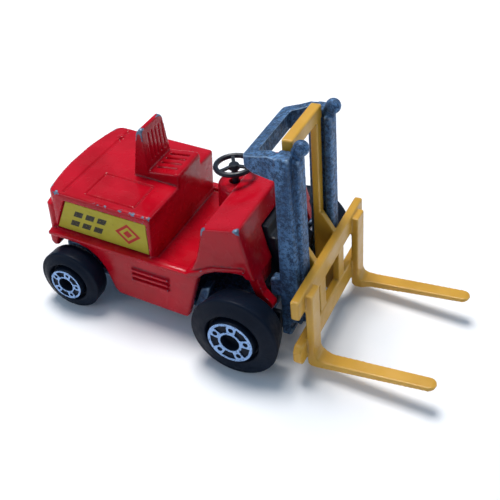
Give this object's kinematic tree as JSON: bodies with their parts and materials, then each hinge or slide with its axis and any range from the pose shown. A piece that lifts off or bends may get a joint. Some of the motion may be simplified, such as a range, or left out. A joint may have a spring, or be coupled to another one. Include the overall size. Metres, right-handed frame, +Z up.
{
  "type": "toy forklift",
  "caption": "small die-cast toy forklift truck with a red body, a tilting metal mast, a sliding yellow fork carriage, a steering wheel and rolling wheels",
  "frame": {"origin": "centre of the toy's bounding box in plan, on the ground the wheels stand on", "axes": "+X is forward, from the tail to the fork tips; +Y is the driver's left; +Z is up"},
  "size_m": [0.0629, 0.0322, 0.0353],
  "materials": {
    "red_enamel": "glossy red stove enamel on a zinc casting, chipped to bare metal at the edges",
    "black_plastic": "black moulded plastic with a slight sheen",
    "tyre_plastic": "hard black plastic, lightly scuffed on the tread",
    "silver_foil": "hot-stamped silver foil, slightly worn",
    "yellow_label": null,
    "axle_steel": "plain drawn steel",
    "bare_zinc": "dull unpainted zinc die casting with a fine grain",
    "yellow_plastic": "deep yellow moulded plastic with a satin shine"
  },
  "bodies": {
    "truck": {"body_casting": "red_enamel", "label_right": "yellow_label", "label_left": "yellow_label", "base_plate": "bare_zinc", "base_rivet_rear": "axle_steel", "base_rivet_front": "axle_steel", "mast_bracket": "black_plastic", "front_axle": "axle_steel", "rear_axle": "axle_steel"},
    "front_right_wheel": {"wheel_front_right": "tyre_plastic", "hub_foil_front_right": "silver_foil"},
    "front_left_wheel": {"wheel_front_left": "tyre_plastic", "hub_foil_front_left": "silver_foil"},
    "rear_right_wheel": {"wheel_rear_right": "tyre_plastic", "hub_foil_rear_right": "silver_foil"},
    "rear_left_wheel": {"wheel_rear_left": "tyre_plastic", "hub_foil_rear_left": "silver_foil"},
    "steering": {"steering_wheel": "black_plastic"},
    "mast": {"mast_casting": "bare_zinc", "tilt_pin": "axle_steel"},
    "carriage": {"fork_carriage": "yellow_plastic"}
  },
  "joints": [
    {"name": "front_right_roll", "type": "hinge", "parent": "truck", "child": "front_right_wheel", "pos_m": [0.00342, -0.0134, 0.00675], "axis": [0, 1, 0], "continuous": true},
    {"name": "front_left_roll", "type": "hinge", "parent": "truck", "child": "front_left_wheel", "pos_m": [0.00342, 0.0134, 0.00675], "axis": [0, 1, 0], "continuous": true},
    {"name": "rear_right_roll", "type": "hinge", "parent": "truck", "child": "rear_right_wheel", "pos_m": [-0.02548, -0.0121, 0.0051], "axis": [0, 1, 0], "continuous": true},
    {"name": "rear_left_roll", "type": "hinge", "parent": "truck", "child": "rear_left_wheel", "pos_m": [-0.02548, 0.0121, 0.0051], "axis": [0, 1, 0], "continuous": true},
    {"name": "steering_turn", "type": "hinge", "parent": "truck", "child": "steering", "pos_m": [-0.00453, 0.0023, 0.023], "axis": [-0.1045, 0, 0.9945], "continuous": true},
    {"name": "mast_tilt", "type": "hinge", "parent": "truck", "child": "mast", "pos_m": [0.00682, 0, 0.0122], "axis": [0, 1, 0], "range_deg": [0, 8]},
    {"name": "fork_lift", "type": "slide", "parent": "mast", "child": "carriage", "axis": [-0.0872, 0, 0.9962], "range_m": [0, 0.018]}
  ]
}
